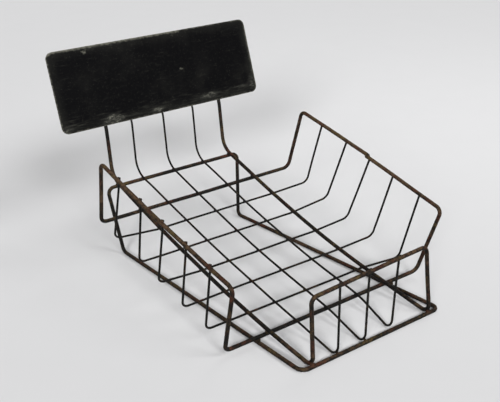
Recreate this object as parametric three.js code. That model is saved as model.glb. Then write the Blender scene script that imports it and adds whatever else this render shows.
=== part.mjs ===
// A counter-top newspaper tray made of bent steel wire, welded where the wires cross.
// Three thick wires make a low stand, a pair of rails with a front lip, and the rim of a shallow basket.
// Thin wires fill the floor and walls as a square mesh, and a sheet metal sign stands at the back.
import * as THREE from "three";

// Driving dimensions in millimetres and degrees. X is left to right seen from the front lip,
// Y runs from the front bar of the stand to the sign at the back, and Z is up.
const THICK = 4.76; // diameter of the frame wire, 3/16 inch
const THIN = 2.64; // diameter of the mesh wire, 12 gauge
const WELD_GAP = 0.3; // room left between two wires where they are welded

const RAIL_SPACING = 178; // between the two rails
const TRAY_DEPTH = 385; // front bar to the corner where the rails turn up
const TRAY_RISE = 95.5; // height of that corner over the front bar
const RAIL_DIP = 0.8; // the rails' line passes this far under the front bar's axis
const RIGHT_RAIL_SAG = 1.3; // the right rail hangs this far lower half way between the basket's floor pieces
const RIGHT_RAIL_IN = 1.5; // and is drawn in at the front
const RUNNER_CLEARANCE = 1.3; // air between the basket's front floor piece and the stand's runners

const STAND_OVERHANG = 15; // each end of the stand's bars past the rails
const STAND_PINCH = 10; // each runner drawn in at its rear corner
const LEG_LEAN = 12.5; // legs lean back by this much
const CROSSBAR_PAST_BEND = 2; // rear crossbar past the start of the rails' rear bends
const STAND_FRONT_BEND = 9.5;
const STAND_REAR_BEND = 8;

const LIP_HEIGHT_LEFT = 75.5; // top bar of the lip over the front bar, bent a little higher on the right
const LIP_HEIGHT_RIGHT = 81.5;
const LIP_LEAN = 7.5; // top bar of the lip behind the front bar
const LIP_PINCH = 2.8; // each upright of the lip drawn in at the top
const LIP_BEND = 8;
const RAIL_FRONT_BEND = 9;
const RAIL_REAR_BEND = 25;

const UPRIGHT_LEAN_DEG = 7; // uprights between the tray and the sign
const UPRIGHT_LENGTH = 62.5;
const UPRIGHT_REACH = 82; // stretch of the uprights behind the sign
const SIGN_LEAN_DEG = 18;
const SIGN_BEND = 40;

const RIM_FLOOR_WIDTH = 293; // basket rim, between the floor corners
const RIM_TOP_WIDTH = 308;
const RIM_FRONT = 73; // front floor piece behind the front bar
const RIM_REAR_SETBACK = 65; // rear floor piece in front of the rails' rear corner
const WALL_HEIGHT = 90.5;
const WALL_RAKE_DEG = 17.2; // walls lean forward
const RIM_FLOOR_BEND = 9;
const RIM_TOP_BEND = 8;
const RIM_LEFT_SAG = 2.5; // left top rail bowed down in the middle
const RIM_REAR_END_LIFT = 3.8; // the wire's two ends meet in the right top rail, one standing higher
const RIM_FRONT_END_LIFT = 1.2;
const RIM_REAR_RIGHT_OUT = 6; // rear right floor corner bent outwards
const RIM_REAR_LEFT_OUT = -1.5;

const CROSS_FRONT_GAP = 36.5; // first cross wire behind the rim's front floor piece
const CROSS_REAR_GAP = 39; // last cross wire in front of the rim's rear floor piece
const CROSS_BEND = 9;
const CROSS_LEFT_BACK = 6.5; // left ends stand behind the line of the wall, inside the top rail
const CROSS_LEFT_END = 0.9; // left ends reach over the top rail's axis

// The free ends of each cross wire past the rails, front to rear, as bent by hand: floor corner set outwards,
// back and up, and the right end's place along the top rail.
const CROSS_DRIFT = [
  { left: { out: -2, back: 0, up: 0 }, right: { out: 0, back: -7, up: 0 }, rightEnd: -1.4 },
  { left: { out: -1, back: -1.2, up: 0.6 }, right: { out: 3, back: 0, up: 0 }, rightEnd: 0 },
  { left: { out: -1.5, back: 3, up: 1 }, right: { out: -0.9, back: -1, up: 2.3 }, rightEnd: -2 },
  { left: { out: -2, back: 0, up: 0.8 }, right: { out: 3.3, back: 0, up: 4.2 }, rightEnd: -3.5 },
  { left: { out: 0, back: 7, up: 0 }, right: { out: 5.5, back: 0, up: 1 }, rightEnd: 0 },
];

// Long wires stand a quarter of the rail spacing apart, each bent sideways off that place by hand.
// Their feet turn up a little behind the front bar.
const LONG_DRIFT = [
  { rear: -7, turn: -1.6, bow: 2.3, foot: -9.5, lip: 2, back: 1 },
  { rear: -3.7, turn: -0.6, bow: 0, foot: -13.7, lip: 1, back: 1.7 },
  { rear: -0.7, turn: -1.2, bow: 0, foot: -15.8, lip: 1.5, back: 3.9 },
];
const LONG_FOOT_DROP = 0.9; // feet hang under the line of the floor
const LONG_REAR_BEND = 28;
const LONG_FOOT_BEND = 9;
const LONG_END = 1; // wire end over the axis of the lip's top bar

const SIGN_WIDTH = 304.8;
const SIGN_HEIGHT = 101.6;
const SIGN_THICKNESS = 1.2;
const SIGN_CORNER = 9;
const SIGN_OFFSET = 2.5; // plate a little right of the middle
const SIGN_MARGIN = 4.5; // lower edge over the bend in the uprights

const SLOPE_RUNS = 12; // straight runs that follow the sagging floor
const BOW_RUNS = 5; // straight runs of the bowed top rail
const SIGN_CORNER_STEPS = 6;
const BEND_STEP_DEG = 15;
const THICK_SIDES = 12;
const THIN_SIDES = 8;

// Distances between the axes of two wires that are welded where they cross.
const THICK_ON_THICK = THICK + WELD_GAP;
const THICK_ON_THIN = (THICK + THIN) / 2 + WELD_GAP;
const FLUSH = (THICK - THIN) / 2; // a thin wire lying flush with one side of a thick one

const RAD = Math.PI / 180;
const UP = new THREE.Vector3(0, 0, 1);

const thickPaint = { color: 0x3a2a20, roughness: 0.75, metalness: 0.35 };
const thinPaint = { color: 0x1f1e1c, roughness: 0.65, metalness: 0.35 };
const signPaint = { color: 0x141414, roughness: 0.45, metalness: 0.1 };

const tray = new THREE.Group();

function addMesh(name, geometry, paint) {
  const mesh = new THREE.Mesh(geometry, new THREE.MeshStandardMaterial(paint));
  mesh.name = name;
  tray.add(mesh);
  return mesh;
}

// A corner of a bent wire: the point where its straight runs would meet, and the bend's radius.
function corner(x, y, z, bend = 0) {
  return { at: new THREE.Vector3(x, y, z), bend };
}

// The axis of a bent wire, with one section at each end of a straight run and several round each bend.
class WireAxis extends THREE.Curve {
  constructor(corners) {
    super();
    this.stations = [];
    corners.forEach((here, i) => this.addCorner(corners[i - 1], here, corners[i + 1]));
  }

  addStation(at, tangent) {
    this.stations.push({ at, tangent: tangent.clone().normalize() });
  }

  addCorner(before, here, after) {
    const into = before && here.at.clone().sub(before.at).normalize();
    const out = after && after.at.clone().sub(here.at).normalize();
    if (!into || !out) {
      this.addStation(here.at, into || out);
      return;
    }
    const turn = into.angleTo(out);
    if (!here.bend) {
      this.addStation(here.at, into.clone().add(out));
      return;
    }
    const axis = into.clone().cross(out).normalize();
    const start = here.at.clone().addScaledVector(into, -here.bend * Math.tan(turn / 2));
    const inward = axis.clone().cross(into);
    const centre = start.clone().addScaledVector(inward, here.bend);
    const steps = Math.ceil(turn / (BEND_STEP_DEG * RAD));
    for (let k = 0; k <= steps; k++) {
      const angle = (turn * k) / steps;
      const spoke = start.clone().sub(centre).applyAxisAngle(axis, angle);
      this.addStation(centre.clone().add(spoke), into.clone().applyAxisAngle(axis, angle));
    }
  }

  getSpacedPoints() {
    return this.stations.map((s) => s.at);
  }

  // Sections keep their roll along the wire, starting level at the middle, so flats face straight down.
  computeFrenetFrames() {
    const tangents = this.stations.map((s) => s.tangent);
    const normals = [];
    const middle = Math.floor(tangents.length / 2);
    normals[middle] = UP.clone().projectOnPlane(tangents[middle]).normalize();
    const carry = (from, to) => {
      const roll = new THREE.Quaternion().setFromUnitVectors(tangents[from], tangents[to]);
      normals[to] = normals[from].clone().applyQuaternion(roll);
    };
    for (let i = middle + 1; i < tangents.length; i++) carry(i - 1, i);
    for (let i = middle - 1; i >= 0; i--) carry(i + 1, i);
    const binormals = tangents.map((t, i) => t.clone().cross(normals[i]));
    return { tangents, normals, binormals };
  }
}

// A round wire as a polygon whose flats touch the wire's circle.
function wire(corners, diameter, sides) {
  const axis = new WireAxis(corners);
  const radius = diameter / 2 / Math.cos(Math.PI / sides);
  const section = Array.from({ length: sides }, (_, k) => {
    const angle = ((k + 0.5) * 2 * Math.PI) / sides;
    return new THREE.Vector2(radius * Math.cos(angle), radius * Math.sin(angle));
  });
  const steps = axis.stations.length - 1;
  return new THREE.ExtrudeGeometry(new THREE.Shape(section), { steps, extrudePath: axis });
}

// Side view: points are Vector2(y, z), with the front bar's axis at zero.
const side = (y, z) => new THREE.Vector2(y, z);
const along = (p, direction, distance) => p.clone().addScaledVector(direction, distance);
const leftOf = (direction) => side(-direction.y, direction.x);

function meet(p, u, q, v) {
  const d = q.clone().sub(p);
  return along(p, u, d.cross(v) / u.cross(v));
}

// The rails' line starts just under the front bar's axis, passes over the rim's front floor piece,
// and climbs to the rear corner.
const rimFrontHeight = 2 * THICK + RUNNER_CLEARANCE + WELD_GAP;
const rimFrontShare = RIM_FRONT / TRAY_DEPTH;
const railRise = TRAY_RISE + RAIL_DIP;
const straightHeight = rimFrontShare * railRise - RAIL_DIP;
const sag = (straightHeight - rimFrontHeight) / (rimFrontShare * (1 - rimFrontShare));

function railPoint(y) {
  const t = y / TRAY_DEPTH;
  return side(y, t * railRise - RAIL_DIP - sag * t * (1 - t));
}

function railDirection(y) {
  const t = y / TRAY_DEPTH;
  return side(TRAY_DEPTH, railRise - sag * (1 - 2 * t)).normalize();
}

// A point straight off the rails' line, on its upper side where the distance is positive.
function offRail(y, distance) {
  return along(railPoint(y), leftOf(railDirection(y)), distance);
}

// The corners of a wire that follows the floor at a fixed distance from the rails' line, front to rear.
function slopePoints(distance) {
  return Array.from({ length: SLOPE_RUNS + 1 }, (_, k) => offRail((k * TRAY_DEPTH) / SLOPE_RUNS, distance));
}

// The front corner of such a wire: its bend rests on the front bar and it then runs on to the lip.
function footCorner(points, clearance, bend, lipPoint) {
  const slope = points[1].clone().sub(points[0]).normalize();
  const over = leftOf(slope).dot(points[0]);
  const seat = Math.sqrt((bend + clearance) ** 2 - (bend + over) ** 2);
  const upward = lipPoint.clone().normalize();
  const half = Math.acos(slope.dot(upward)) / 2;
  return along(along(side(0, 0), leftOf(slope), over), slope, seat - bend / Math.tan(half));
}

const uprightUp = side(Math.sin(UPRIGHT_LEAN_DEG * RAD), Math.cos(UPRIGHT_LEAN_DEG * RAD));
const signUp = side(Math.sin(SIGN_LEAN_DEG * RAD), Math.cos(SIGN_LEAN_DEG * RAD));

// The upper corners of a floor wire, set forward of the rails' uprights by a distance.
function uprightCorners(points, forward) {
  const last = points[SLOPE_RUNS];
  const slope = last.clone().sub(points[SLOPE_RUNS - 1]);
  const rearCorner = railPoint(TRAY_DEPTH);
  const bendPoint = along(rearCorner, uprightUp, UPRIGHT_LENGTH);
  const lower = along(rearCorner, leftOf(uprightUp), forward);
  const upper = along(bendPoint, leftOf(signUp), forward);
  const turn = meet(last, slope, lower, uprightUp);
  const knee = meet(lower, uprightUp, upper, signUp);
  return { turn, knee, end: along(upper, signUp, UPRIGHT_REACH) };
}

const railX = RAIL_SPACING / 2;
const lipX = railX - LIP_PINCH;
const lipMiddle = side(LIP_LEAN, (LIP_HEIGHT_LEFT + LIP_HEIGHT_RIGHT) / 2);
const lipTilt = (LIP_HEIGHT_RIGHT - LIP_HEIGHT_LEFT) / (2 * lipX);
const railLine = slopePoints(0);
const railTop = uprightCorners(railLine, 0);

// How far the floor hangs under the rails' line, from nothing at the left rail to the most at the right one.
const rimRear = TRAY_DEPTH - RIM_REAR_SETBACK;

function floorDrop(x, y) {
  const t = (y - RIM_FRONT) / (rimRear - RIM_FRONT);
  return (4 * RIGHT_RAIL_SAG * Math.max(0, t * (1 - t)) * (x + railX)) / RAIL_SPACING;
}

// Rail frame: both rails, the lip at the front and the outer uprights, bent from one wire.
function railFrame() {
  const foot = footCorner(railLine, THICK_ON_THICK, RAIL_FRONT_BEND, lipMiddle);
  const halfFrame = (x, drawnIn, lipEnd, lipHeight) => [
    corner(x, railTop.end.x, railTop.end.y),
    corner(x, railTop.knee.x, railTop.knee.y, SIGN_BEND),
    corner(x, railTop.turn.x, railTop.turn.y, RAIL_REAR_BEND),
    ...railLine.slice(1, SLOPE_RUNS).reverse().map((p) => {
      return corner(x - drawnIn * (1 - p.x / TRAY_DEPTH), p.x, p.y - floorDrop(x, p.x));
    }),
    corner(x - drawnIn, foot.x, foot.y, RAIL_FRONT_BEND),
    corner(lipEnd - drawnIn, LIP_LEAN, lipHeight, LIP_BEND),
  ];
  const left = halfFrame(-railX, 0, -lipX, LIP_HEIGHT_LEFT);
  const right = halfFrame(railX, RIGHT_RAIL_IN, lipX, LIP_HEIGHT_RIGHT);
  return wire([...left, ...right.reverse()], THICK, THICK_SIDES);
}

// Stand: one loop with its seam in the middle of the rear crossbar, under the start of the rails' rear bends.
function stand() {
  const slope = railLine[SLOPE_RUNS].clone().sub(railLine[SLOPE_RUNS - 1]).normalize();
  const rearTurn = Math.acos(slope.dot(uprightUp));
  const bendLength = RAIL_REAR_BEND * Math.tan(rearTurn / 2);
  const seat = along(railTop.turn, slope, CROSSBAR_PAST_BEND - bendLength);
  const crossbar = along(seat, leftOf(slope), -THICK_ON_THICK);
  const barX = railX + STAND_OVERHANG;
  const half = (sign) => [
    corner((sign * WELD_GAP) / 2, crossbar.x, crossbar.y),
    corner(sign * barX, crossbar.x, crossbar.y, STAND_REAR_BEND),
    corner(sign * (barX - STAND_PINCH), crossbar.x - LEG_LEAN, 0, STAND_REAR_BEND),
    corner(sign * barX, 0, 0, STAND_FRONT_BEND),
  ];
  return wire([...half(1), ...half(-1).reverse()], THICK, THICK_SIDES);
}

// Basket rim: floor pieces under the rails at front and rear, joined by walls and top rails.
const wallUp = side(-Math.sin(WALL_RAKE_DEG * RAD), Math.cos(WALL_RAKE_DEG * RAD));
const rimFloor = { front: offRail(RIM_FRONT, -THICK_ON_THICK), rear: offRail(rimRear, -THICK_ON_THICK) };
const rimTop = {
  front: along(rimFloor.front, wallUp, WALL_HEIGHT),
  rear: along(rimFloor.rear, wallUp, WALL_HEIGHT),
};
const topRun = rimTop.rear.clone().sub(rimTop.front);

// A point of a top rail at a share of its length from the front, lifted by a height.
const topRailPoint = (share, lift) => along(rimTop.front, topRun, share).add(side(0, lift));

// The left top rail is bowed. The right one climbs from both corners to the seam in its middle.
const leftLift = (share) => -4 * RIM_LEFT_SAG * share * (1 - share);
const rightLift = (share) => (share < 0.5 ? 2 * RIM_FRONT_END_LIFT * share : 2 * RIM_REAR_END_LIFT * (1 - share));

function basketRim() {
  const floorX = RIM_FLOOR_WIDTH / 2;
  const topX = RIM_TOP_WIDTH / 2;
  const at = (x, p, bend) => corner(x, p.x, p.y, bend);
  const seamEnd = (top, lift) => {
    const seam = topRailPoint(0.5, lift);
    return at(topX, along(seam, top.clone().sub(seam).normalize(), WELD_GAP / 2));
  };
  const bowShares = Array.from({ length: BOW_RUNS - 1 }, (_, k) => 1 - (k + 1) / BOW_RUNS);
  const bow = bowShares.map((share) => at(-topX, topRailPoint(share, leftLift(share))));
  return wire(
    [
      seamEnd(rimTop.rear, RIM_REAR_END_LIFT),
      at(topX, rimTop.rear, RIM_TOP_BEND),
      at(floorX + RIM_REAR_RIGHT_OUT, rimFloor.rear, RIM_FLOOR_BEND),
      at(-floorX - RIM_REAR_LEFT_OUT, rimFloor.rear, RIM_FLOOR_BEND),
      at(-topX, rimTop.rear, RIM_TOP_BEND),
      ...bow,
      at(-topX, rimTop.front, RIM_TOP_BEND),
      at(-floorX, rimFloor.front, RIM_FLOOR_BEND),
      at(floorX, rimFloor.front, RIM_FLOOR_BEND),
      at(topX, rimTop.front, RIM_TOP_BEND),
      seamEnd(rimTop.front, RIM_FRONT_END_LIFT),
    ],
    THICK,
    THICK_SIDES,
  );
}

// Cross wire: under the rails across the floor and up both walls.
// The left end passes inside the top rail, and the right end stops under it.
function crossWire(y, drift) {
  const floor = offRail(y, -THICK_ON_THIN);
  const crossing = meet(rimTop.front, topRun, floor, wallUp);
  const place = crossing.distanceTo(rimTop.front);
  const leftShare = (place + CROSS_LEFT_BACK) / topRun.length();
  const rightShare = (distance) => (place + drift.rightEnd + distance) / topRun.length();
  const leftRail = topRailPoint(leftShare, leftLift(leftShare));
  const rightHeight = Math.min(rightLift(rightShare(-THIN)), rightLift(rightShare(THIN)));
  const rightRail = topRailPoint(rightShare(0), rightHeight);
  const leftEnd = along(leftRail, wallUp, CROSS_LEFT_END);
  const rightEnd = along(rightRail, wallUp, -THICK / 2 - WELD_GAP);
  const floorBend = (sign, { out, back, up }) => {
    const bent = offRail(y + back, -THICK_ON_THIN);
    return corner(sign * (RIM_FLOOR_WIDTH / 2 + out), bent.x, bent.y + up, CROSS_BEND);
  };
  const corners = [
    corner(THICK_ON_THIN - RIM_TOP_WIDTH / 2, leftEnd.x, leftEnd.y),
    floorBend(-1, drift.left),
    corner(-railX, floor.x, floor.y),
    corner(railX, floor.x, floor.y - floorDrop(railX, y)),
    floorBend(1, drift.right),
    corner(RIM_TOP_WIDTH / 2, rightEnd.x, rightEnd.y),
  ];
  return wire(corners, THIN, THIN_SIDES);
}

// Long wire: down behind the sign, over the crossbar and the cross wires, and up behind the lip's top bar.
// Past the rim's front floor piece its free end swings sideways to the foot.
function longWire(place, drift) {
  const line = slopePoints(-FLUSH);
  const top = uprightCorners(line, FLUSH);
  const lipPlace = place + drift.lip;
  const bar = side(LIP_LEAN, lipMiddle.y + lipTilt * lipPlace);
  const rise = bar.clone().normalize();
  const lipEnd = along(along(bar, leftOf(rise), -THICK_ON_THIN), rise, LONG_END);
  const seat = footCorner(line, THICK_ON_THIN, LONG_FOOT_BEND, lipEnd);
  const foot = along(seat, line[1].clone().sub(line[0]).normalize(), drift.back);
  const rearX = place + drift.rear;
  const footX = place + drift.foot;
  const slope = line.slice(1, SLOPE_RUNS).reverse();
  const corners = [
    corner(rearX, top.end.x, top.end.y),
    corner(rearX, top.knee.x, top.knee.y, SIGN_BEND),
    corner(rearX + drift.turn, top.turn.x, top.turn.y, LONG_REAR_BEND),
    ...slope.map((p) => {
      const free = Math.max(0, 1 - p.x / RIM_FRONT);
      const t = p.x / TRAY_DEPTH;
      const x = rearX + 4 * drift.bow * t * (1 - t) + (footX - rearX) * free;
      return corner(x, p.x, p.y - floorDrop(x, p.x) - LONG_FOOT_DROP * free);
    }),
    corner(footX, foot.x, foot.y - LONG_FOOT_DROP, LONG_FOOT_BEND),
    corner(lipPlace, lipEnd.x, lipEnd.y),
  ];
  return wire(corners, THIN, THIN_SIDES);
}

// Sign: a flat sheet with rounded corners in front of the five uprights.
function signPlate() {
  const w = SIGN_WIDTH / 2;
  const r = SIGN_CORNER;
  const outline = new THREE.Shape()
    .moveTo(r - w, 0)
    .lineTo(w - r, 0)
    .absarc(w - r, r, r, -Math.PI / 2, 0)
    .lineTo(w, SIGN_HEIGHT - r)
    .absarc(w - r, SIGN_HEIGHT - r, r, 0, Math.PI / 2)
    .lineTo(r - w, SIGN_HEIGHT)
    .absarc(r - w, SIGN_HEIGHT - r, r, Math.PI / 2, Math.PI)
    .lineTo(-w, r)
    .absarc(r - w, r, r, Math.PI, 1.5 * Math.PI);
  return new THREE.ExtrudeGeometry(outline, {
    depth: SIGN_THICKNESS,
    bevelEnabled: false,
    curveSegments: SIGN_CORNER_STEPS,
  });
}

addMesh("stand", stand(), thickPaint);
addMesh("rail_frame", railFrame(), thickPaint);
addMesh("basket_rim", basketRim(), thickPaint);

const crossFirst = RIM_FRONT + CROSS_FRONT_GAP;
const crossPitch = (rimRear - CROSS_REAR_GAP - crossFirst) / (CROSS_DRIFT.length - 1);
CROSS_DRIFT.forEach((drift, i) => {
  addMesh(`cross_wire_${i + 1}`, crossWire(crossFirst + i * crossPitch, drift), thinPaint);
});

const longPitch = RAIL_SPACING / (LONG_DRIFT.length + 1);
LONG_DRIFT.forEach((drift, i) => {
  addMesh(`long_wire_${i + 1}`, longWire((i + 1) * longPitch - railX, drift), thinPaint);
});

const sign = addMesh("sign_plate", signPlate(), signPaint);
const signFoot = along(along(railTop.knee, signUp, SIGN_MARGIN), leftOf(signUp), THICK / 2 + WELD_GAP);
sign.position.set(SIGN_OFFSET, signFoot.x, signFoot.y);
sign.rotation.x = Math.PI / 2 - SIGN_LEAN_DEG * RAD;

// The origin is under the middle of the whole tray, on the surface it stands on.
const box = new THREE.Box3().setFromObject(tray, true);
const middle = box.getCenter(new THREE.Vector3());
tray.position.set(-middle.x, -middle.y, -box.min.z);

const part = new THREE.Group();
part.add(tray);

export default part;
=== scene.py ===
"""The looks of a counter-top newspaper tray: bent and welded steel wire with a sheet metal sign.

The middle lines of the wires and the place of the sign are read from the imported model,
so each piece lies where the model has it.
"""
import math
from itertools import combinations

import bmesh
import bpy
import numpy as np
from mathutils import Matrix, Vector, noise


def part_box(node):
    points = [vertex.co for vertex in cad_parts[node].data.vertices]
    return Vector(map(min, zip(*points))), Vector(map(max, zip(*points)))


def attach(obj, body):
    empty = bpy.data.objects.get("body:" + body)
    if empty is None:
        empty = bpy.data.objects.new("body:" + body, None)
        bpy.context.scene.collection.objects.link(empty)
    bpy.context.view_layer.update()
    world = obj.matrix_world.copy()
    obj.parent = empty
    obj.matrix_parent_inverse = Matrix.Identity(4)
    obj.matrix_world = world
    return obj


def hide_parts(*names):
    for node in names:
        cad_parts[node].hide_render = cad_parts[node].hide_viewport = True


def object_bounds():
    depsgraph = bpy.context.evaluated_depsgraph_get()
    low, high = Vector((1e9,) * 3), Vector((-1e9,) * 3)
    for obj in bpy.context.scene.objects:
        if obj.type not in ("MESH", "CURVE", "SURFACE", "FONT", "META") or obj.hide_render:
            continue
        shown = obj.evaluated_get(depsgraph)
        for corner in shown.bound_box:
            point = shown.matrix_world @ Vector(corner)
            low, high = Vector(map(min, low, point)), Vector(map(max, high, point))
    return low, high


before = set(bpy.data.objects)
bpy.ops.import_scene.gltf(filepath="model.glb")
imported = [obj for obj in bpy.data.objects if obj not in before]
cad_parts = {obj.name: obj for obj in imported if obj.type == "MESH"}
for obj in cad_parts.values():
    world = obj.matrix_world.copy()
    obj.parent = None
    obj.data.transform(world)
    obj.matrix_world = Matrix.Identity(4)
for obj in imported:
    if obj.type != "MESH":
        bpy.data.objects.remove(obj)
cad_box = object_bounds()

MM = 0.001

# Wire, in millimetres.
RING_SPACING = 3.0  # between rings of points along a straight run
RING_START = (0.31, 0.17, 0.94)  # rings are turned against this direction, which no wire sets out along
BEND_EASE = 12  # a bend runs out over this length of the next straight run
LONG_RUN = 3 * BEND_EASE  # a run longer than this is straight between its bends
THICK_SIDES = 16
THIN_SIDES = 12
THICK_FROM = 1.6  # a wire with a larger radius is frame wire
HAND_BEND = 0.4  # how far hand bending leaves a wire off its line
HAND_BEND_LENGTH = 70  # over about this length
HAND_BEND_SEED = 5  # the same bends each time
LIES_FLAT = 15  # no such wander where the wire lies on the table, and all of it from this height up
TOP_RUST_AND_PAINTED_SHADE = 0.34  # rust takes this much more of the upper side of a wire, and less of its underside: partly wear, and partly painted light on the top and painted shade underneath
PIT_DEPTH = 0.09  # rust pits and scale
PIT_SIZE = 2.6
PAINTED_PITS = 0.3  # share of that depth where the paint is sound
CUT_ROUNDING = 0.35  # softened edge of a sheared wire end
CUT_KNEE = 0.3  # its middle step, as a share of the rounding

# Half sizes of the welds, as shares of the thinner wire's radius.
WELD_SPREAD = 1.25  # along the wire and across it
WELD_THICKNESS = 0.9
SEAM_WELD = (1.6, 1.08, 1.12)  # along the wire, up the step between its ends, and through it
SEAM_STEP = 0.25  # ends no further out of line than this have no step
TACK_WELD = (1.9, 1.5, 0.55)  # along the wire, across it, and through it

# Their places and looks.
WELD_REACH = 2.0  # two wires no further apart than this, in millimetres, are welded
SEAM_STEP_SHARE = 1 / 3  # a seam weld spreads by this share of the step
SEAM_SIDE = (1.0, 0.0, 0.3)  # without a step it is turned against this direction
WELD_SUBDIVISIONS = 3
WELD_LUMPS = 0.16  # share of its size by which a weld is lumpy
WELD_LUMP_FINENESS = 1.7
WELD_RUST = (0.25, 0.75)  # share of rust on the tray's middle line and at its sides

# Sign, in millimetres.
SIGN_CELL = 3.0  # size of the cells of its face
SIGN_EDGE_FALL = 0.4  # the face falls back this far at its edges
SIGN_EDGE_BAND = 3.5  # over this width
SIGN_EDGE_ROUNDING = 0.25
SIGN_CORNER_STEPS = 7
SIGN_BOW = 0.5
SIGN_DENTS = 0.25
SIGN_DENT_SIZE = 38
SIGN_UPRIGHTS = ("rail_frame", "long_wire_1", "long_wire_2", "long_wire_3")
SIGN_TACKS = (9, 66)  # tack welds on an upright, from its top end

# Wear of the sign, in millimetres and shares: paint worn off its edges, dust along them, scuffs,
# a rubbed band and burnt paint.
SIGN_WEAR = ("edge_wear", "border", "scuff", "rub", "burnt")
SIGN_BORDER = 16  # dust stays on this width along the edges
SIGN_BACK_DUST = 0.8  # the back was never wiped: as dusty as this share of the edges
SIGN_RUB_HEIGHT = 9  # a rubbed band this far over the lower edge
SIGN_RUB_BAND = 8
SIGN_TACK_STAIN = 9  # rust round a tack weld, where its heat burnt the paint

# How bare the edge of the sign is, what each millimetre inward takes off, and what two stretches
# add: the top edge up to a share of the half width, and the right edge. A stretch starts at a share
# of the half size.
SIGN_EDGE_WEAR = 0.57
SIGN_EDGE_WEAR_FALL = 0.14
SIGN_TOP_WEAR = {"more": 0.20, "from": 0.90, "up_to": 0.30}
SIGN_RIGHT_WEAR = {"more": 0.16, "from": 0.97}

# Paint is scuffed off the sign in streaky patches, and chipped off in spots: place on the face as
# shares of its half width and half height from the middle, half size in millimetres, and how bare it is.
SIGN_SCUFFS = [
    ((-0.52, -0.88), (18, 8), 0.36),
    ((-0.09, -0.90), (10, 3), 0.40),
    ((0.46, -0.83), (18, 5), 0.32),
    ((0.84, -0.75), (28, 1.8), 0.28),
    ((-0.95, -0.90), (8, 6), 0.28),
    ((0.985, 0.00), (3.5, 46), 0.24),
    ((0.95, -0.72), (6, 13), 0.28),
    ((-0.45, 0.97), (80, 4), 0.18),
]
SIGN_CHIPS = [
    ((-0.66, 0.86), (4.5, 3.5), 0.62),
    ((0.21, 0.90), (4, 2.5), 0.42),
    ((0.225, 0.02), (5.5, 2.4), 0.46),
    ((0.25, -0.05), (2.6, 5.0), 0.44),
]

# Share of the paint that rust has taken on each kind of piece.
RUST = {"stand": 0.37, "rail_frame": 0.28, "basket_rim": 0.60, "cross_wire": 0.12, "long_wire": 0.08}

# Places where it differs: a share of the piece's box in x, y and z, how far it reaches in
# millimetres, and what it adds. Paint survives under the papers and near the sign, and goes first
# where hands and papers rub and at the joints that were heated.
RUST_PLACES = {
    "stand": [
        ((0.42, 1.00, 1.00), 62, -0.36),
        ((0.98, 0.97, 0.50), 48, -0.40),
        ((0.04, 0.97, 0.35), 42, -0.34),
        ((0.16, 1.00, 1.00), 34, 0.48),
        ((0.90, 1.00, 1.00), 42, 0.32),
        ((0.70, 0.00, 0.00), 60, -0.16),
        ((0.97, 0.55, 0.00), 80, 0.19),
        ((0.92, 0.00, 0.00), 20, 0.12),
        ((0.97, 0.25, 0.00), 28, -0.26),
        ((0.95, 0.92, 0.03), 40, 0.14),
    ],
    "rail_frame": [
        ((0.02, 0.01, 0.03), 20, 0.26),
        ((0.00, 0.00, 0.16), 36, 0.13),
        ((1.00, 0.00, 0.16), 36, 0.28),
        ((0.15, 0.02, 0.33), 40, 0.13),
        ((0.85, 0.02, 0.33), 40, 0.16),
        ((0.50, 0.02, 0.33), 48, 0.18),
        ((0.00, 0.45, 0.12), 80, -0.34),
        ((0.00, 0.20, 0.05), 45, -0.08),
        ((1.00, 0.10, 0.06), 45, -0.30),
        ((1.00, 0.45, 0.14), 60, -0.14),
        ((0.00, 0.88, 0.34), 34, 0.26),
        ((0.00, 0.70, 0.25), 40, -0.06),
        ((0.00, 0.94, 0.52), 36, 0.26),
        ((1.00, 0.94, 0.52), 32, 0.40),
        ((0.00, 0.97, 0.80), 54, -0.46),
        ((1.00, 0.98, 0.74), 50, -0.46),
    ],
    "basket_rim": [
        ((0.50, 0.10, 0.03), 95, -0.56),
        ((0.12, 0.12, 0.03), 55, -0.42),
        ((0.04, 0.05, 0.28), 34, 0.14),
        ((0.88, 0.10, 0.03), 40, -0.08),
        ((0.50, 1.00, 0.44), 95, -0.56),
        ((0.80, 1.00, 0.44), 50, -0.30),
        ((0.10, 1.00, 0.44), 30, -0.62),
        ((0.21, 1.00, 0.44), 16, 0.16),
        ((0.02, 0.98, 0.66), 36, 0.30),
        ((1.00, 0.98, 0.70), 40, 0.08),
        ((1.00, 0.50, 0.78), 110, 0.20),
        ((0.00, 0.60, 0.74), 60, 0.10),
    ],
    "cross_wire_2": [((0.00, 0.50, 0.75), 36, 0.40)],
    "cross_wire_4": [((0.03, 0.50, 0.15), 40, 0.20)],
}

# The photograph's view: metres, degrees, and the lens and sensor in millimetres.
CAMERA_AT = (-0.65180, -0.82435, 0.53401)
CAMERA_AZIMUTH = -38.233
CAMERA_ELEVATION = 22.656
CAMERA_ROLL = -0.733
CAMERA_LENS = 68.109
CAMERA_SENSOR = 36
IMAGE_WIDTH = 500
HALF_PIXEL = 0.5 / IMAGE_WIDTH

# Three soft boxes stand in front of the tray and the room fills the rest. Their shares add up to 1
# on a level surface, at which a colour renders about as it is written.
SOFT_BOXES = {
    "soft_box_right": {"towards": (-0.58, 1.30, -1.00), "spread": 25, "share": 0.23},
    "soft_box_left": {"towards": (1.95, 1.60, -1.00), "spread": 15, "share": 0.28},
    "soft_box_front": {"towards": (0.52, 1.62, -1.00), "spread": 15, "share": 0.27},
}
ROOM_SHARE = 0.22

# A lamp over the paper on the right leaves a pool of light there: metres and watts.
POOL_LAMP = {"at": (0.70, 0.10, 0.95), "size": 0.5, "power": 1.7}

# Background paper, in metres.
FLOOR_RADIUS = 20.0
FLOOR_SIDES = 64
FLOOR_COLOUR = "#d9d9da"
FLOOR_FIBRES = "#d7d7d8"


# Materials

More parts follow.
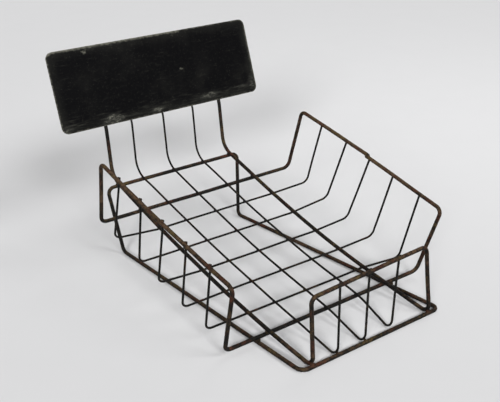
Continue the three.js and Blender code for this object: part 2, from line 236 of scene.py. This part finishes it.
def linear(colour):
    """A colour written as #rrggbb in sRGB, as linear red, green, blue and alpha."""
    parts = [int(colour[k:k + 2], 16) / 255 for k in (1, 3, 5)]
    return [c / 12.92 if c <= 0.04045 else ((c + 0.055) / 1.055) ** 2.4 for c in parts] + [1.0]


def per_metre(size):
    """The scale of a texture whose features are a size in millimetres."""
    return 1 / (size * MM)


def add(tree, kind, inputs=(), **settings):
    """Adds a node with its settings. Each input is a value, or a socket to link.

    Math and Mix nodes repeat the names of their sockets, so these go by number. On a Mix node 0 is
    the share, 2 and 3 are two numbers, 6 and 7 are two colours, and a mixed colour comes out at 2.
    """
    made = tree.nodes.new("ShaderNode" + kind)
    for name, value in settings.items():
        setattr(made, name, value)
    for name, value in dict(inputs).items():
        if isinstance(value, bpy.types.NodeSocket):
            tree.links.new(value, made.inputs[name])
        else:
            made.inputs[name].default_value = value
    return made


def new_material(name):
    """An empty material, its node tree and its surface shader."""
    material = bpy.data.materials.new(name)
    material.use_nodes = True
    tree = material.node_tree
    return material, tree, tree.nodes["Principled BSDF"]


def rust_colour(tree, place, share, mottle):
    """Brown rust, deep umber at first and paler with age, with redder and ochre bloom."""
    bloom = add(tree, "TexNoise", {"Vector": place, "Scale": per_metre(17), "Detail": 3,
                                   "Roughness": 0.55}).outputs["Fac"]
    aged = add(tree, "MapRange", {"Value": share, "From Min": 0.80, "From Max": 1.45}).outputs[0]
    red = add(tree, "MapRange", {"Value": bloom, "From Min": 0.50, "From Max": 0.66, "To Max": 0.7},
              interpolation_type="SMOOTHSTEP").outputs[0]
    ochre = add(tree, "MapRange", {"Value": bloom, "From Min": 0.46, "From Max": 0.32, "To Max": 0.65},
                interpolation_type="SMOOTHSTEP").outputs[0]
    deep = add(tree, "Mix", {0: mottle, 6: linear("#15100b"), 7: linear("#30261c")}, data_type="RGBA")
    pale = add(tree, "Mix", {0: mottle, 6: linear("#2d2219"), 7: linear("#534233")}, data_type="RGBA")
    layers = [(aged, pale.outputs[2]), (red, linear("#40231a")), (ochre, linear("#483d22"))]
    colour = deep.outputs[2]
    for cover, tint in layers:
        colour = add(tree, "Mix", {0: cover, 6: colour, 7: tint}, data_type="RGBA").outputs[2]
    return colour


def painted_wire(name, worn_paint, rust_gain):
    """Black stoving paint on drawn steel wire. It is a thin dull gloss where it survives. Where it has
    gone the steel shows matt brown rust with a grainy scale."""
    material, tree, shader = new_material(name)
    place = add(tree, "TexCoord").outputs["Object"]
    # The rust attribute also carries painted light and shade: browner on the upper sides of wires, blacker
    # underneath.
    rust = add(tree, "Attribute", attribute_name="rust").outputs["Fac"]
    patches = add(tree, "TexNoise", {"Vector": place, "Scale": per_metre(9), "Detail": 5,
                                     "Roughness": 0.62}).outputs["Fac"]
    stretches = add(tree, "TexNoise", {"Vector": place, "Scale": per_metre(30), "Detail": 2,
                                       "Roughness": 0.5}).outputs["Fac"]
    specks = add(tree, "TexNoise", {"Vector": place, "Scale": per_metre(4), "Detail": 3,
                                    "Roughness": 0.6}).outputs["Fac"]
    # Scale on rusted wire is a few tenths of a millimetre across, drawn coarser so that it shows.
    grain = add(tree, "TexNoise", {"Vector": place, "Scale": per_metre(1.4), "Detail": 4,
                                   "Roughness": 0.7}).outputs["Fac"]
    uneven = add(tree, "Mix", {0: 0.45, 2: patches, 3: stretches}).outputs[0]
    spread = add(tree, "MapRange", {"Value": uneven, "From Min": 0.34, "From Max": 0.66,
                                    "To Min": 0.25, "To Max": 0.75}, clamp=False).outputs[0]
    share = add(tree, "Math", {0: rust, 1: rust_gain, 2: spread}, operation="MULTIPLY_ADD").outputs[0]
    grainy = add(tree, "Mix", {0: 0.4, 2: specks, 3: grain}).outputs[0]
    pinholes = add(tree, "MapRange", {"Value": grainy, "From Min": 0.36, "From Max": 0.64,
                                      "To Min": -0.40, "To Max": 0.40}, clamp=False).outputs[0]
    pricked = add(tree, "Math", {0: share, 1: pinholes}, operation="ADD").outputs[0]
    bare = add(tree, "MapRange", {"Value": pricked, "From Min": 0.68, "From Max": 1.30},
               interpolation_type="SMOOTHSTEP").outputs[0]
    mottle = add(tree, "MapRange", {"Value": grainy, "From Min": 0.38, "From Max": 0.63},
                 interpolation_type="SMOOTHSTEP").outputs[0]
    rusted = rust_colour(tree, place, share, mottle)
    paint = add(tree, "Mix", {0: mottle, 6: linear("#0b0b0a"), 7: linear(worn_paint)}, data_type="RGBA")
    colour = add(tree, "Mix", {0: bare, 6: paint.outputs[2], 7: rusted}, data_type="RGBA").outputs[2]
    rough = add(tree, "MapRange", {"Value": bare, "To Min": 0.48, "To Max": 0.88}).outputs[0]
    bump = add(tree, "Bump", {"Height": grain, "Strength": 0.35, "Distance": 0.25 * MM})
    tree.links.new(colour, shader.inputs["Base Color"])
    tree.links.new(rough, shader.inputs["Roughness"])
    tree.links.new(bump.outputs[0], shader.inputs["Normal"])
    # Weathered paint and rust scatter nearly all the light that falls on them.
    shader.inputs["Specular IOR Level"].default_value = 0.07
    return material


def sign_enamel():
    """Black enamel on sheet steel, sprayed and old. The face is an even black with a low gloss, with
    dust in fine specks, greyer along its edges, and rubbed in streaks low down. Edges and scuffed
    patches are worn to grey primer, and the back has rusted where tack welds burnt it."""
    material, tree, shader = new_material("black_enamel_on_sheet_steel")
    place = add(tree, "TexCoord").outputs["Object"]
    wear = {kind: add(tree, "Attribute", attribute_name=kind).outputs["Fac"] for kind in SIGN_WEAR}
    along = add(tree, "Mapping", {"Vector": place, "Scale": (0.10, 1.0, 1.0), "Rotation": (0, 0, 0.04)})
    slanting = add(tree, "Mapping", {"Vector": place, "Scale": (0.40, 1.0, 1.0), "Rotation": (0, 0, -0.3)})
    chips = add(tree, "TexNoise", {"Vector": place, "Scale": per_metre(4), "Detail": 6,
                                   "Roughness": 0.7}).outputs["Fac"]
    dust = add(tree, "TexNoise", {"Vector": place, "Scale": per_metre(45), "Detail": 4,
                                  "Roughness": 0.6}).outputs["Fac"]
    # Dust is finer than this, drawn coarser so that it shows.
    specks = add(tree, "TexNoise", {"Vector": place, "Scale": per_metre(1.9), "Detail": 3,
                                    "Roughness": 0.6}).outputs["Fac"]
    rubbed = add(tree, "TexNoise", {"Vector": along.outputs[0], "Scale": per_metre(2.2), "Detail": 4,
                                    "Roughness": 0.7}).outputs["Fac"]
    scraped = add(tree, "TexNoise", {"Vector": slanting.outputs[0], "Scale": per_metre(2.6), "Detail": 4,
                                     "Roughness": 0.7}).outputs["Fac"]

    dusty = add(tree, "Math", {0: wear["border"], 1: 0.35, 2: dust}, operation="MULTIPLY_ADD").outputs[0]
    film = add(tree, "MapRange", {"Value": dusty, "From Min": 0.45, "From Max": 1.0, "To Max": 0.8},
               interpolation_type="SMOOTHSTEP").outputs[0]
    fleck = add(tree, "MapRange", {"Value": specks, "From Min": 0.56, "From Max": 0.76, "To Max": 0.35},
                interpolation_type="SMOOTHSTEP").outputs[0]
    smeared = add(tree, "Math", {0: scraped, 1: 0.7, 2: wear["scuff"]}, operation="MULTIPLY_ADD").outputs[0]
    haze = add(tree, "MapRange", {"Value": smeared, "From Min": 0.46, "From Max": 0.76,
                                  "To Max": 0.6}).outputs[0]
    streaky = add(tree, "Math", {0: wear["rub"], 1: 0.12, 2: rubbed}, operation="MULTIPLY_ADD").outputs[0]
    marks = add(tree, "MapRange", {"Value": streaky, "From Min": 0.58, "From Max": 0.86, "To Max": 0.5},
                interpolation_type="SMOOTHSTEP").outputs[0]

    worn_edge = add(tree, "Math", {0: wear["edge_wear"], 1: chips}, operation="ADD").outputs[0]
    bare_edge = add(tree, "MapRange", {"Value": worn_edge, "From Min": 0.78, "From Max": 1.30,
                                       "To Max": 0.7}, interpolation_type="SMOOTHSTEP").outputs[0]
    worn_patch = add(tree, "Math", {0: wear["scuff"], 1: scraped}, operation="ADD").outputs[0]
    bare_patch = add(tree, "MapRange", {"Value": worn_patch, "From Min": 0.78, "From Max": 1.10,
                                        "To Max": 0.8}, interpolation_type="SMOOTHSTEP").outputs[0]
    bare = add(tree, "Math", {0: bare_edge, 1: bare_patch}, operation="MAXIMUM").outputs[0]
    blotchy = add(tree, "Math", {0: wear["burnt"], 1: 0.6, 2: chips}, operation="MULTIPLY_ADD").outputs[0]
    stain = add(tree, "MapRange", {"Value": blotchy, "From Min": 0.72, "From Max": 1.12, "To Max": 0.8},
                interpolation_type="SMOOTHSTEP").outputs[0]

    layers = [(film, "#1a1a18"), (fleck, "#34342f"), (haze, "#32322f"), (marks, "#383833"),
              (bare, "#6c6b61"), (stain, "#33211a")]
    colour = linear("#060607")
    for cover, tint in layers:
        colour = add(tree, "Mix", {0: cover, 6: colour, 7: linear(tint)}, data_type="RGBA").outputs[2]
    matt = add(tree, "Math", {0: bare, 1: stain}, operation="MAXIMUM").outputs[0]
    rough = add(tree, "MapRange", {"Value": matt, "To Min": 0.42, "To Max": 0.75}).outputs[0]
    bump = add(tree, "Bump", {"Height": bare, "Strength": 0.4, "Distance": -0.12 * MM})
    tree.links.new(colour, shader.inputs["Base Color"])
    tree.links.new(rough, shader.inputs["Roughness"])
    tree.links.new(bump.outputs[0], shader.inputs["Normal"])
    # Old enamel has lost nearly all its shine.
    shader.inputs["Specular IOR Level"].default_value = 0.02
    return material


def studio_paper():
    """Seamless background paper: pale, matt and even, with a faint unevenness of its fibres."""
    material, tree, shader = new_material("studio_paper")
    place = add(tree, "TexCoord").outputs["Object"]
    # Fibres are far finer than this, drawn coarser so that they show.
    fibres = add(tree, "TexNoise", {"Vector": place, "Scale": per_metre(60), "Detail": 3}).outputs["Fac"]
    tints = {0: fibres, 6: linear(FLOOR_FIBRES), 7: linear(FLOOR_COLOUR)}
    colour = add(tree, "Mix", tints, data_type="RGBA").outputs[2]
    tree.links.new(colour, shader.inputs["Base Color"])
    shader.inputs["Roughness"].default_value = 1.0
    shader.inputs["Specular IOR Level"].default_value = 0.0
    return material


# Wires

SAME_POINT = 1e-6  # metres
CUT_ANGLE = math.radians(60)  # only a wire's cut ends have edges this sharp


def unit(v):
    """A vector's direction."""
    return v / np.linalg.norm(v)


def wire_sections(node):
    """The rings of points of a wire in the model, from one cut end to the other."""
    shape = bmesh.new()
    shape.from_mesh(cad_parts[node].data)
    bmesh.ops.remove_doubles(shape, verts=shape.verts, dist=SAME_POINT)
    shape.verts.index_update()
    cut = [e for e in shape.edges if e.calc_face_angle() > CUT_ANGLE]
    ring, waiting = set(), [cut[0].verts[0]]
    while waiting:
        point = waiting.pop()
        if point not in ring:
            ring.add(point)
            waiting += [e.other_vert(point) for e in point.link_edges if e in cut]
    sections, passed = [], set()
    while ring:
        passed |= ring
        sections.append(np.array([v.co for v in sorted(ring, key=lambda v: v.index)]))
        ring = {e.other_vert(v) for v in ring for e in v.link_edges} - passed
    shape.free()
    return sections


def hand_bent(point):
    """A point of a wire, moved a little as hand bending leaves it. All wires near it move alike."""
    free = min(1.0, max(0.0, point[2]) / (LIES_FLAT * MM))
    wander = noise.noise_vector(Vector(point) / (HAND_BEND_LENGTH * MM))
    return point + np.array(wander) * HAND_BEND * MM * free


def between(start, leaving, end, arriving, t):
    """A point at share t of the smooth curve between two places, with its direction given at both."""
    reach = np.linalg.norm(end - start)
    straight = (2 * t**3 - 3 * t**2 + 1) * start + (3 * t**2 - 2 * t**3) * end
    return straight + reach * ((t**3 - 2 * t**2 + t) * leaving + (t**3 - t**2) * arriving)


def wire_line(node):
    """The middle line of a wire in close steps, and the wire's radius."""
    sections = wire_sections(node)
    centres = [points.mean(axis=0) for points in sections]
    ease = BEND_EASE * MM
    stations = []
    for k, points in enumerate(sections):
        before, after = centres[max(k - 1, 0)], centres[min(k + 1, len(centres) - 1)]
        normal = np.linalg.svd(points - centres[k])[2][2]
        stations.append((centres[k], normal if normal @ (after - before) > 0 else -normal))
        if np.linalg.norm(after - centres[k]) > LONG_RUN * MM:
            ahead = unit(after - centres[k])
            stations += [(centres[k] + ahead * ease, ahead), (after - ahead * ease, ahead)]
    line = []
    for (start, leaving), (end, arriving) in zip(stations, stations[1:]):
        steps = max(2, math.ceil(np.linalg.norm(end - start) / (RING_SPACING * MM)))
        line += [between(start, leaving, end, arriving, t) for t in np.arange(steps) / steps]
    line.append(centres[-1])
    flats = math.cos(math.pi / len(sections[0]))
    radius = flats * np.linalg.norm(sections[0][0] - centres[0])
    return np.array([hand_bent(point) for point in line]), radius


def line_directions(line):
    """The direction of a line at each of its points."""
    return np.array([unit(v) for v in np.gradient(line, axis=0)])


def rust_share(node, points):
    """How far rust has taken the paint of a wire at each of its points, from 0 to 1."""
    kind = node.rstrip("0123456789").rstrip("_")
    low, high = (np.array(corner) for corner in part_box(node))
    share = np.full(len(points), RUST[kind])
    for where, reach, change in RUST_PLACES.get(node, []):
        away = np.linalg.norm(points - (low + (high - low) * np.array(where)), axis=1)
        share += change * np.exp(-((away / (reach * MM)) ** 2))
    return np.clip(share, 0, 1)


def new_piece(name, points, faces, material, slot, **values):
    """A smooth mesh piece with values at its points. The slot argument is not used."""
    mesh = bpy.data.meshes.new(name)
    mesh.from_pydata([tuple(p) for p in points], [], faces)
    mesh.validate()
    mesh.polygons.foreach_set("use_smooth", [True] * len(mesh.polygons))
    for key, numbers in values.items():
        attribute = mesh.attributes.new(key, "FLOAT", "POINT")
        attribute.data.foreach_set("value", np.asarray(numbers, dtype=np.float32))
    mesh.materials.append(material)
    piece = bpy.data.objects.new(name, mesh)
    bpy.context.scene.collection.objects.link(piece)
    return piece


def cut_ends(line, radius):
    """The steps of a wire, with a softened edge at each sheared end: middle and radius of each ring."""
    rounding = CUT_ROUNDING * MM
    knee = CUT_KNEE * rounding
    ahead, behind = unit(line[1] - line[0]), unit(line[-1] - line[-2])
    middles = [line[0], line[0] + ahead * knee, line[0] + ahead * rounding, *line[1:-1],
               line[-1] - behind * rounding, line[-1] - behind * knee, line[-1]]
    soft = [radius - rounding, radius - knee]
    radii = [*soft, *[radius] * (len(middles) - 2 * len(soft)), *reversed(soft)]
    return np.array(middles), np.array(radii)


def wire_mesh(node, line, radius, sides):
    """The points, faces and rust of a round wire along a line, pitted where it has rusted. The rust is
    raised on the upper side and lowered underneath, partly as wear and partly as painted light and shade.
    """
    middles, radii = cut_ends(line, radius)
    directions = line_directions(middles)
    across = unit(np.cross(directions[0], RING_START))
    points, rust_and_shade_levels = [], []
    for middle, direction, reach, level in zip(middles, directions, radii, rust_share(node, middles)):
        across = unit(across - direction * (across @ direction))
        other = np.cross(direction, across)
        depth = PIT_DEPTH * MM * (PAINTED_PITS + (1 - PAINTED_PITS) * level)
        for k in range(sides):
            angle = 2 * math.pi * k / sides
            spoke = across * math.cos(angle) + other * math.sin(angle)
            pits = noise.noise(Vector(middle + spoke * reach) / (PIT_SIZE * MM))
            points.append(middle + spoke * (reach + pits * depth))
            # Painted light and shade: the upper side of each ring gets more rust colour and the underside
            # more black paint, partly for wear and partly to stand in for light from above.
            rust_and_shade_levels.append(level + TOP_RUST_AND_PAINTED_SHADE * spoke[2])
    faces = []
    last = len(points) - sides
    for ring in range(0, last, sides):
        for k in range(sides):
            a, b = ring + k, ring + (k + 1) % sides
            faces.append((a, b, b + sides, a + sides))
    faces.append(tuple(reversed(range(sides))))
    faces.append(tuple(range(last, last + sides)))
    return points, faces, rust_and_shade_levels


# Welds

PARALLEL_GUARD = 1.001  # a little over 1, so that no division by zero comes from wires side by side


def lump(middle, along, across, size, points, faces):
    """Adds one weld: a lumpy drop of metal at a place, its sizes given along three directions."""
    shape = bmesh.new()
    bmesh.ops.create_icosphere(shape, subdivisions=WELD_SUBDIVISIONS, radius=1.0)
    shape.verts.index_update()
    turn = np.array([along, across, np.cross(along, across)])
    first = len(points)
    for v in shape.verts:
        lumps = noise.noise(v.co * WELD_LUMP_FINENESS + Vector(middle) / MM)
        spot = np.array(v.co) * size * (1 + WELD_LUMPS * lumps)
        points.append(middle + spot @ turn)
    faces += [tuple(first + v.index for v in face.verts) for face in shape.faces]
    shape.free()


def crossings(wire_a, wire_b):
    """Where two wires are welded: their nearest points and the first wire's direction there, one for
    each stretch where they come close."""
    (line_a, radius_a), (line_b, radius_b) = wire_a, wire_b
    spacing = RING_SPACING * MM
    weld_limit = radius_a + radius_b + WELD_REACH * MM
    gaps = np.linalg.norm(line_a[:, None] - line_b[None], axis=2)
    near = gaps.min(axis=1) < weld_limit + spacing / 2
    ways_a, ways_b = line_directions(line_a), line_directions(line_b)
    found = []
    for start in np.flatnonzero(near & ~np.roll(near, 1)):
        stop = start
        while stop < len(near) and near[stop]:
            stop += 1
        i = start + int(gaps[start:stop].min(axis=1).argmin())
        j = int(gaps[i].argmin())
        spot_a, way_a, spot_b, way_b = line_a[i], ways_a[i], line_b[j], ways_b[j]
        slant = way_a @ way_b
        apart = spot_b - spot_a
        # Both spots slide to where the wires pass nearest each other, but a cut end stays.
        slide_a = (apart @ way_a - slant * (apart @ way_b)) / (PARALLEL_GUARD - slant**2)
        spot_a = spot_a + way_a * np.clip(slide_a, -spacing, spacing) * (0 < i < len(line_a) - 1)
        slide_b = (spot_a - spot_b) @ way_b
        spot_b = spot_b + way_b * np.clip(slide_b, -spacing, spacing) * (0 < j < len(line_b) - 1)
        if np.linalg.norm(spot_b - spot_a) < weld_limit:
            found.append((spot_a, spot_b, way_a))
    return found


def cross_welds(lines, points, faces):
    """Adds a weld at each place where two wires cross or meet."""
    for first, second in combinations(sorted(lines), 2):
        radius_a, radius_b = lines[first][1], lines[second][1]
        size = min(radius_a, radius_b) * np.array([WELD_SPREAD, WELD_SPREAD, WELD_THICKNESS])
        for spot_a, spot_b, way_a in crossings(lines[first], lines[second]):
            through = unit(spot_b - spot_a)
            along = unit(way_a - through * (way_a @ through))
            middle = spot_a + (spot_b - spot_a) * radius_a / (radius_a + radius_b)
            lump(middle, along, np.cross(through, along), size, points, faces)


def seam_weld(line, radius, points, faces):
    """Adds the weld that joins the two ends of a wire bent into a loop."""
    middle = (line[0] + line[-1]) / 2
    along = unit(unit(line[0] - line[1]) + unit(line[-2] - line[-1]))
    apart = line[0] - line[-1]
    rise = apart - along * (apart @ along)
    step = np.linalg.norm(rise)
    across = unit(rise) if step > radius * SEAM_STEP else unit(np.cross(along, SEAM_SIDE))
    size = np.array(SEAM_WELD) * (radius, radius + step * SEAM_STEP_SHARE, radius)
    lump(middle, along, across, size, points, faces)


def sign_tacks(lines, front):
    """The tack welds of the uprights on the sign: place, direction of the wire there, and its radius."""
    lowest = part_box("sign_plate")[0].z
    tacks = []
    for name in SIGN_UPRIGHTS:
        line, radius = lines[name]
        for end in (line, line[::-1]):
            if end[0][2] > lowest:
                run = np.append(0, np.cumsum(np.linalg.norm(np.diff(end, axis=0), axis=1)))
                for down in SIGN_TACKS:
                    spot = end[np.searchsorted(run, down * MM)] + front * radius
                    tacks.append((spot, unit(end[1] - end[0]), radius))
    return tacks


# Sign

def sign_frame():
    """The sign's place in the model as a matrix, and its half width, half height, corner radius and
    thickness."""
    points = np.array([v.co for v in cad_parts["sign_plate"].data.vertices])
    normal = np.linalg.svd(points - points.mean(axis=0))[2][2]
    front = normal if normal[1] < 0 else -normal
    right = np.array([1.0, 0.0, 0.0])
    up = np.cross(front, right)
    local = points @ np.array([right, up, front]).T
    low, high = local.min(axis=0), local.max(axis=0)
    middle = (low + high) / 2
    half = (high - low) / 2
    top_edge = local[local[:, 1] > high[1] - SAME_POINT]
    corner = half[0] - np.abs(top_edge[:, 0] - middle[0]).max()
    place = Matrix([(*axis, 0) for axis in (right, up, front)] + [(0, 0, 0, 1)]).transposed()
    place.translation = middle @ np.array([right, up, front])
    return place, (half[0], half[1], corner), 2 * half[2]


def sign_rows(half_width, half_height, corner):
    """Rows across a sheet with rounded corners, bottom to top: height and half width of each."""
    straight = half_height - corner
    steps = np.radians(np.linspace(0, 90, SIGN_CORNER_STEPS + 1))
    count = math.ceil(2 * straight / (SIGN_CELL * MM))
    middle = [(h, half_width) for h in np.linspace(-straight, straight, count + 1)]
    upper = [(straight + corner * math.sin(a), half_width - corner * (1 - math.cos(a))) for a in steps[1:]]
    lower = [(-h, w) for h, w in reversed(upper)]
    return lower + middle + upper


def edge_distance(x, y, sheet):
    """How far a point of the face lies from the edge of the sheet."""
    half_width, half_height, corner = sheet
    over_x, over_y = abs(x) - half_width + corner, abs(y) - half_height + corner
    outside = math.hypot(max(over_x, 0), max(over_y, 0))
    return corner - outside - min(max(over_x, over_y), 0)


def worn_places(x, y, sheet, places):
    """How bare the listed places leave the paint at a point of the face."""
    half_width, half_height, corner = sheet
    bare = 0.0
    for (u, v), (wide, high), amount in places:
        away = math.hypot((x - u * half_width) / (wide * MM), (y - v * half_height) / (high * MM))
        bare = max(bare, amount * math.exp(-away**4))
    return bare


def wear_at(x, y, on_face, sheet, tacks):
    """How far each kind of wear has gone at a point of the sign, in the order of SIGN_WEAR."""
    half_width, half_height, corner = sheet
    inward = edge_distance(x, y, sheet) / MM
    top = SIGN_TOP_WEAR["more"] * (y > SIGN_TOP_WEAR["from"] * half_height)
    top_left = top * (x < SIGN_TOP_WEAR["up_to"] * half_width)
    right = SIGN_RIGHT_WEAR["more"] * (x > SIGN_RIGHT_WEAR["from"] * half_width)
    edge = SIGN_EDGE_WEAR + top_left + right - inward * SIGN_EDGE_WEAR_FALL
    low_band = (y + half_height - SIGN_RUB_HEIGHT * MM) / (SIGN_RUB_BAND * MM)
    near_tack = min(math.hypot(x - tack.x, y - tack.y) for tack in tacks) / (SIGN_TACK_STAIN * MM)
    return (
        max(edge, on_face * worn_places(x, y, sheet, SIGN_CHIPS)),
        max(0.0 if on_face else SIGN_BACK_DUST, 1 - inward / SIGN_BORDER),
        on_face * worn_places(x, y, sheet, SIGN_SCUFFS),
        on_face * math.exp(-(low_band**2)),
        (not on_face) * math.exp(-(near_tack**2)),
    )


def sign_mesh(sheet, thickness, tacks):
    """The points, faces and wear of the sign, in its own frame with the face towards +z."""
    half_width, half_height, corner = sheet
    columns = np.linspace(-1, 1, math.ceil(2 * half_width / (SIGN_CELL * MM)) + 1)
    soft = SIGN_EDGE_ROUNDING * MM
    points, faces, wear = [], [], []

    def add_point(x, y, z):
        dents = noise.noise(Vector((x, y, 0)) / (SIGN_DENT_SIZE * MM)) * SIGN_DENTS
        bow = SIGN_BOW * (1 - (x / half_width) ** 2) - SIGN_BOW / 2
        points.append((x, y, z + (bow + dents) * MM))
        wear.append(wear_at(x, y, z > 0, sheet, tacks))
        return len(points) - 1

    def face_grid(depth_at, turned):
        grid = []
        for y, reach in sign_rows(half_width - soft, half_height - soft, corner - soft):
            grid.append([add_point(u * reach, y, depth_at(u * reach, y)) for u in columns])
        for low, high in zip(grid, grid[1:]):
            for k in range(len(columns) - 1):
                quad = (low[k], low[k + 1], high[k + 1], high[k])
                faces.append(tuple(reversed(quad)) if turned else quad)
        return outline(grid)

    def rim(depth):
        rows = sign_rows(half_width, half_height, corner)
        grid = []
        for k, (y, reach) in enumerate(rows):
            whole = k in (0, len(rows) - 1)
            grid.append([add_point(u * reach, y, depth) for u in (columns if whole else (-1, 1))])
        return outline(grid)

    def outline(grid):
        right = [row[-1] for row in grid[1:-1]]
        left = [row[0] for row in reversed(grid[1:-1])]
        return [*grid[0], *right, *reversed(grid[-1]), *left]

    def bridge(inner, outer):
        for k in range(len(inner)):
            after = (k + 1) % len(inner)
            faces.append((inner[k], outer[k], outer[after], inner[after]))

    def front_depth(x, y):
        fall = max(0.0, 1 - edge_distance(x, y, sheet) / (SIGN_EDGE_BAND * MM))
        return thickness / 2 - SIGN_EDGE_FALL * MM * fall**2

    front = face_grid(front_depth, False)
    back = face_grid(lambda x, y: -thickness / 2, True)
    front_rim = rim(thickness / 2 - SIGN_EDGE_FALL * MM - soft)
    back_rim = rim(-thickness / 2 + soft)
    bridge(front, front_rim)
    bridge(front_rim, back_rim)
    bridge(back_rim, back)
    return points, faces, dict(zip(SIGN_WEAR, zip(*wear)))


# The tray

frame_paint = painted_wire("black_stoving_paint_rusted_through", "#141210", 0.95)
mesh_paint = painted_wire("black_stoving_paint_on_mesh_wire", "#131210", 0.80)
enamel = sign_enamel()

noise.seed_set(HAND_BEND_SEED)
wires = [name for name in sorted(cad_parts) if name != "sign_plate"]
lines = {name: wire_line(name) for name in wires}
for name, (line, radius) in lines.items():
    thick = radius > THICK_FROM * MM
    points, faces, rust_and_shade_levels = wire_mesh(name, line, radius, THICK_SIDES if thick else THIN_SIDES)
    paint, slot = (frame_paint, "frame_wire") if thick else (mesh_paint, "mesh_wire")
    piece = new_piece(name + "_bent_wire", points, faces, paint, slot, rust=rust_and_shade_levels)
    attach(piece, "root")
    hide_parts(name)

place, sheet, thickness = sign_frame()
front = np.array(place.col[2].xyz)
tacks = sign_tacks(lines, front)
spots = [place.inverted() @ Vector(spot) for spot, ahead, radius in tacks]
points, faces, wear = sign_mesh(sheet, thickness, spots)
sign = new_piece("sign_sheet", points, faces, enamel, "sign_sheet", **wear)
sign.matrix_world = place
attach(sign, "root")
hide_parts("sign_plate")

weld_points, weld_faces = [], []
cross_welds(lines, weld_points, weld_faces)
for name in ("stand", "basket_rim"):
    seam_weld(*lines[name], weld_points, weld_faces)
for spot, ahead, radius in tacks:
    lump(spot, ahead, unit(np.cross(front, ahead)), radius * np.array(TACK_WELD), weld_points, weld_faces)
sideways = np.abs(np.array(weld_points)[:, 0]) / cad_box[1].x
weld_rust = np.interp(sideways, (0, 1), WELD_RUST)
welds = new_piece("welds", weld_points, weld_faces, frame_paint, "frame_wire", rust=weld_rust)
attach(welds, "root")


# Floor, light and camera

def studio_floor():
    """A wide round sheet of paper at table height."""
    shape = bmesh.new()
    bmesh.ops.create_circle(shape, cap_ends=True, segments=FLOOR_SIDES, radius=FLOOR_RADIUS)
    mesh = bpy.data.meshes.new("floor")
    shape.to_mesh(mesh)
    shape.free()
    mesh.materials.append(studio_paper())
    floor = bpy.data.objects.new("floor", mesh)
    bpy.context.scene.collection.objects.link(floor)


def soft_box(name, towards, spread, share):
    """A distant soft box that gives a level surface its share of the light."""
    direction = Vector(towards).normalized()
    light = bpy.data.lights.new(name, "SUN")
    light.angle = math.radians(spread)
    light.energy = share * math.pi / -direction.z
    lamp = bpy.data.objects.new(name, light)
    lamp.rotation_euler = direction.to_track_quat("-Z", "Y").to_euler()
    bpy.context.scene.collection.objects.link(lamp)


def pool_lamp(at, size, power):
    """A soft lamp that points straight down at the paper."""
    light = bpy.data.lights.new("pool_lamp", "AREA")
    light.shape = "DISK"
    light.size = size
    light.energy = power
    lamp = bpy.data.objects.new("pool_lamp", light)
    lamp.location = at
    bpy.context.scene.collection.objects.link(lamp)


def room():
    """Even light from all round, seen as pale as the floor by the eye and in reflections."""
    world = bpy.data.worlds.new("room")
    bpy.context.scene.world = world
    world.use_nodes = True
    tree = world.node_tree
    rays = add(tree, "LightPath").outputs
    seen = add(tree, "Math", {0: rays["Is Camera Ray"], 1: rays["Is Glossy Ray"]}, operation="MAXIMUM")
    shown = add(tree, "Math", {0: seen.outputs[0], 1: rays["Is Transmission Ray"]}, operation="MAXIMUM")
    light = [ROOM_SHARE, ROOM_SHARE, ROOM_SHARE, 1]
    colour = add(tree, "Mix", {0: shown.outputs[0], 6: light, 7: linear(FLOOR_COLOUR)}, data_type="RGBA")
    tree.links.new(colour.outputs[2], tree.nodes["Background"].inputs["Color"])


def photo_camera():
    """The photograph's view. Pixels are counted from their middles, so the frame shifts by half of one."""
    data = bpy.data.cameras.new("camera")
    data.sensor_width = CAMERA_SENSOR
    data.sensor_fit = "HORIZONTAL"
    data.lens = CAMERA_LENS
    data.shift_x = -HALF_PIXEL
    data.shift_y = HALF_PIXEL
    camera = bpy.data.objects.new("camera", data)
    turn = Matrix.Rotation(math.radians(CAMERA_AZIMUTH), 4, "Z")
    tilt = Matrix.Rotation(math.radians(90 - CAMERA_ELEVATION), 4, "X")
    roll = Matrix.Rotation(math.radians(CAMERA_ROLL), 4, "Z")
    camera.matrix_world = Matrix.Translation(CAMERA_AT) @ turn @ tilt @ roll
    bpy.context.scene.collection.objects.link(camera)
    bpy.context.scene.camera = camera


studio_floor()
for name, box in SOFT_BOXES.items():
    soft_box(name, **box)
pool_lamp(**POOL_LAMP)
room()
photo_camera()
bpy.context.scene.view_settings.view_transform = "Standard"

bpy.context.view_layer.update()
